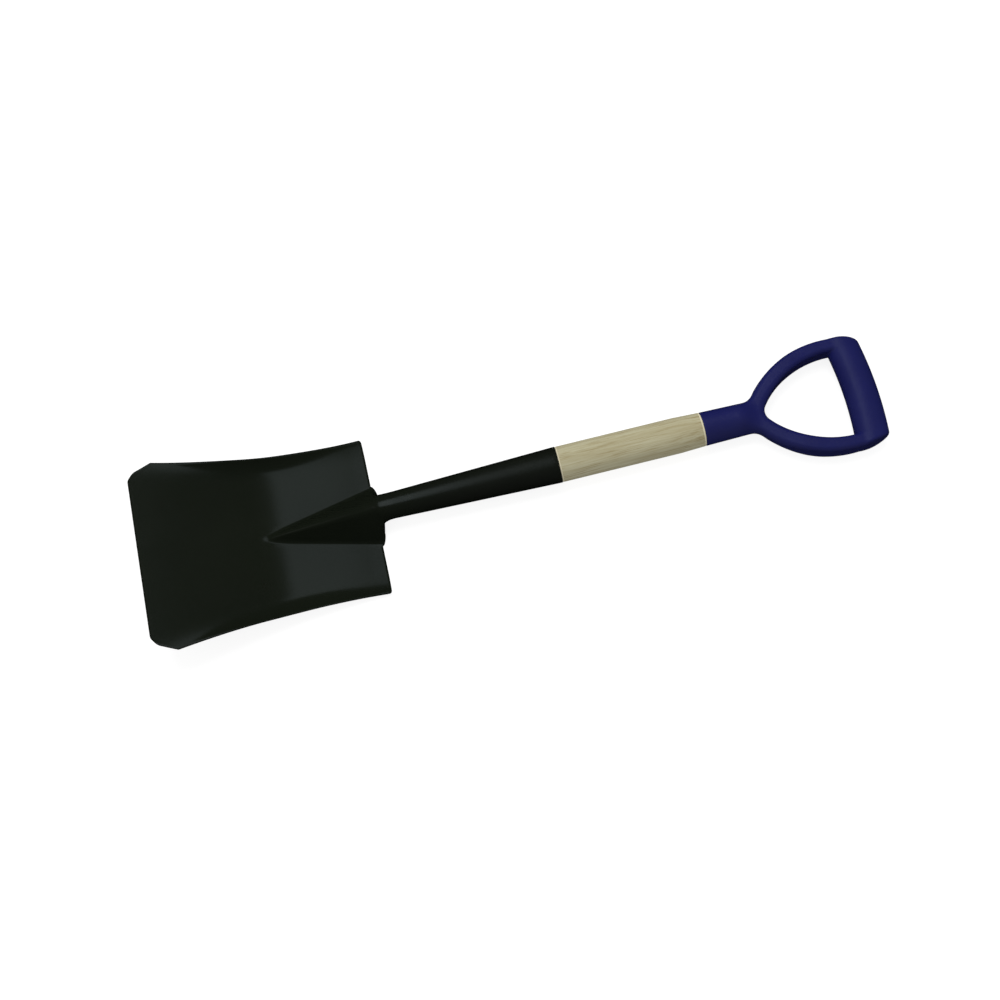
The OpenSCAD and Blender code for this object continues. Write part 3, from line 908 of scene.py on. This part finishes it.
def ash_wood():
    """Pale sanded ash: long grain, finer pores, a thin clear finish and a painted highlight ring at
    each joint.
    """
    m = Nodes("pale_ash")
    grain = m.noise(m.stretched((5, 150, 150)), scale=1.6, detail=6, roughness=0.62, distortion=0.4)
    bands = m.noise(m.stretched((1.6, 48, 48)), scale=1.3, distortion=0.8)
    pores = m.noise(m.stretched((24, 900, 900)), scale=1.0, detail=2, roughness=0.7)
    body = m.ramp(bands, [(0.30, srgb(171, 166, 136)), (0.70, srgb(184, 180, 151))])
    streaks = m.ramp(grain, [(0.32, srgb(228, 220, 205)), (0.60, srgb(255, 255, 255))])
    specks = m.ramp(pores, [(0.34, srgb(224, 214, 196)), (0.46, srgb(255, 255, 255))])
    colour = m.mixed(1.0, body, streaks, "MULTIPLY")
    colour = m.mixed(1.0, colour, specks, "MULTIPLY")
    # The lighter rings at the joints are painted highlight, standing for the light that the edges
    # catch
    edge_highlight = m.ramp(grain, [(0.3, srgb(205, 197, 168)), (0.7, srgb(216, 208, 180))])
    m.link(m.mixed(m.ends(HIGHLIGHT_RING_WIDTH), colour, edge_highlight), m.shader.inputs["Base Color"])
    m.link(m.span(grain, low=0.62, high=0.46), m.shader.inputs["Roughness"])
    relief = m.bump(grain, distance=0.00025, strength=0.5)
    relief = m.bump(pores, distance=0.00008, strength=0.4, under=relief)
    m.link(relief, m.shader.inputs["Normal"])
    m.shader.inputs["Specular IOR Level"].default_value = 0.35
    return m.material


def moulded_plastic():
    """Navy moulded plastic with a fine spark-eroded texture and slight flow shading."""
    m = Nodes("navy_plastic")
    flow = m.noise(m.place, scale=18, distortion=0.6)
    colour = m.ramp(flow, [(0.3, srgb(17, 21, 81)), (0.7, srgb(22, 26, 88))])
    m.link(colour, m.shader.inputs["Base Color"])
    sheen = m.noise(m.place, scale=60)
    m.link(m.span(sheen, low=0.36, high=0.48), m.shader.inputs["Roughness"])
    texture = m.noise(m.place, scale=1500, detail=2, roughness=0.6)
    waves = m.noise(m.place, scale=30, detail=2)
    relief = m.bump(waves, distance=0.0003, strength=0.25)
    relief = m.bump(texture, distance=0.00003, strength=0.5, under=relief)
    m.link(relief, m.shader.inputs["Normal"])
    m.shader.inputs["IOR"].default_value = 1.48
    return m.material


def screw_steel():
    """Zinc-plated steel with fine turning marks."""
    m = Nodes("zinc_steel")
    marks = m.noise(m.stretched((600, 600, 2600)), scale=1.0, roughness=0.6)
    colour = m.ramp(marks, [(0.3, srgb(118, 120, 122)), (0.7, srgb(158, 159, 158))])
    m.link(colour, m.shader.inputs["Base Color"])
    m.shader.inputs["Metallic"].default_value = 0.5
    m.link(m.span(marks, low=0.28, high=0.45), m.shader.inputs["Roughness"])
    m.link(m.bump(marks, distance=0.00005, strength=0.4), m.shader.inputs["Normal"])
    return m.material


# ---- Stage ----

# The camera's place in the tool's frame, the bearing and the elevation from which it looks at the
# tool and its roll in degrees, and its lens and film in millimetres
CAMERA_AT = (-209.4, -443.0, 1281.1)
CAMERA_BEARING = -88.3
CAMERA_ELEVATION = 71.82
CAMERA_ROLL = -15.37
CAMERA_LENS = 46.8
CAMERA_FILM = 36.0
# Radiance of the even light from all round, and of the background that the camera sees
DOME_RADIANCE = 0.62
BACKDROP_RADIANCE = 1.1
# The floor: half its width in metres, its darker and lighter grey, and the light that it gives
FLOOR_HALF = 6.0
FLOOR_DARK = (0.27, 0.27, 0.27, 1)
FLOOR_LIGHT = (0.29, 0.29, 0.29, 1)
FLOOR_GLOW = 0.85


def add_camera():
    """The camera of the photo's view."""
    data = bpy.data.cameras.new("camera")
    data.lens = CAMERA_LENS
    data.sensor_width = CAMERA_FILM
    data.clip_start = 0.01
    data.clip_end = 50
    camera = bpy.data.objects.new("camera", data)
    turn = TOOL.to_3x3().to_4x4()
    for angle, axis in ((90 + CAMERA_BEARING, "Z"), (90 - CAMERA_ELEVATION, "X"), (CAMERA_ROLL, "Z")):
        turn = turn @ Matrix.Rotation(math.radians(angle), 4, axis)
    camera.matrix_world = Matrix.Translation(placed_one(CAMERA_AT)) @ turn
    bpy.context.scene.collection.objects.link(camera)
    bpy.context.scene.camera = camera


def add_softbox(name, at, towards, size, radiance, colour=(1, 1, 1), glossy=True):
    """A rectangular light that faces a point, its size given along the tool and across it.

    A glossy one shows only in reflections, and any other one gives only diffuse light.
    """
    data = bpy.data.lights.new(name, "AREA")
    data.shape = "RECTANGLE"
    data.size = size[0] * MM
    data.size_y = size[1] * MM
    data.energy = radiance * math.pi * data.size * data.size_y
    data.color = colour
    light = bpy.data.objects.new(name, data)
    place = placed_one(at)
    back = (place - placed_one(towards)).normalized()
    across = back.cross(Vector((1, 0, 0))).normalized()
    turn = Matrix((across.cross(back), across, back)).transposed().to_4x4()
    light.matrix_world = Matrix.Translation(place) @ turn
    bpy.context.scene.collection.objects.link(light)
    light.visible_camera = False
    light.visible_glossy = glossy
    light.visible_diffuse = not glossy


def add_floor():
    """A plain pale floor, wide enough to fill the view."""
    mesh = bpy.data.meshes.new("floor")
    corners = [(x * FLOOR_HALF, y * FLOOR_HALF, 0) for x, y in ((-1, -1), (1, -1), (1, 1), (-1, 1))]
    mesh.from_pydata(corners, [], [(0, 1, 2, 3)])
    m = Nodes("floor_paper")
    clouds = m.noise(m.place, scale=3, detail=2)
    tint = m.ramp(clouds, [(0.3, FLOOR_DARK), (0.7, FLOOR_LIGHT)])
    m.link(tint, m.shader.inputs["Base Color"])
    m.shader.inputs["Roughness"].default_value = 0.9
    m.shader.inputs["Specular IOR Level"].default_value = 0.0
    m.shader.inputs["Emission Color"].default_value = (1, 1, 1, 1)
    m.shader.inputs["Emission Strength"].default_value = FLOOR_GLOW
    mesh.materials.append(m.material)
    floor = bpy.data.objects.new("floor", mesh)
    bpy.context.scene.collection.objects.link(floor)
    floor.visible_glossy = False
    floor.visible_diffuse = False


def add_light():
    """Even white light from all round, and softboxes that draw the highlights."""
    scene = bpy.context.scene
    world = bpy.data.worlds.new("studio")
    world.use_nodes = True
    tree = world.node_tree
    tree.nodes["Background"].inputs["Color"].default_value = (1, 1, 1, 1)
    seen = tree.nodes.new("ShaderNodeLightPath").outputs["Is Camera Ray"]
    strength = tree.nodes.new("ShaderNodeMapRange")
    strength.inputs["To Min"].default_value = DOME_RADIANCE
    strength.inputs["To Max"].default_value = BACKDROP_RADIANCE
    tree.links.new(seen, strength.inputs["Value"])
    tree.links.new(strength.outputs["Result"], tree.nodes["Background"].inputs["Strength"])
    world.cycles_visibility.glossy = False
    scene.world = world
    scene.view_settings.view_transform = "Standard"
    add_softbox("key_panel", at=(-200, 900, 1900), towards=(-200, 0, 0), size=(1400, 1400),
                radiance=4.4, glossy=False)
    add_softbox("overhead_panel", at=(-428, 450, 1500), towards=(-428, 450, 0), size=(384, 1400),
                radiance=0.9, colour=(0.86, 1.0, 1.04))
    add_softbox("mouth_panel", at=(-1500, 0, 1400), towards=(-300, 0, 0), size=(500, 900),
                radiance=0.3)


def build():
    """The whole scene: camera, floor, lights, the two detailed pieces and the solids' materials."""
    steel = painted_steel()
    wood = ash_wood()
    plastic = moulded_plastic()
    zinc = screw_steel()
    add_camera()
    add_floor()
    add_light()
    blade = mesh_piece("pressed_blade", *blade_mesh(), steel)
    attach(blade, "root")
    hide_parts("blade")
    grip = mesh_piece("d_grip", *grip_mesh(), plastic)
    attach(grip, "root")
    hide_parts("grip")
    looks = {"shaft": wood, "socket_screw_left": zinc, "socket_screw_right": zinc, "grip_screw": zinc}
    for name, material in looks.items():
        for slot in frame["nodes"][name].material_slots:
            slot.material = material


build()
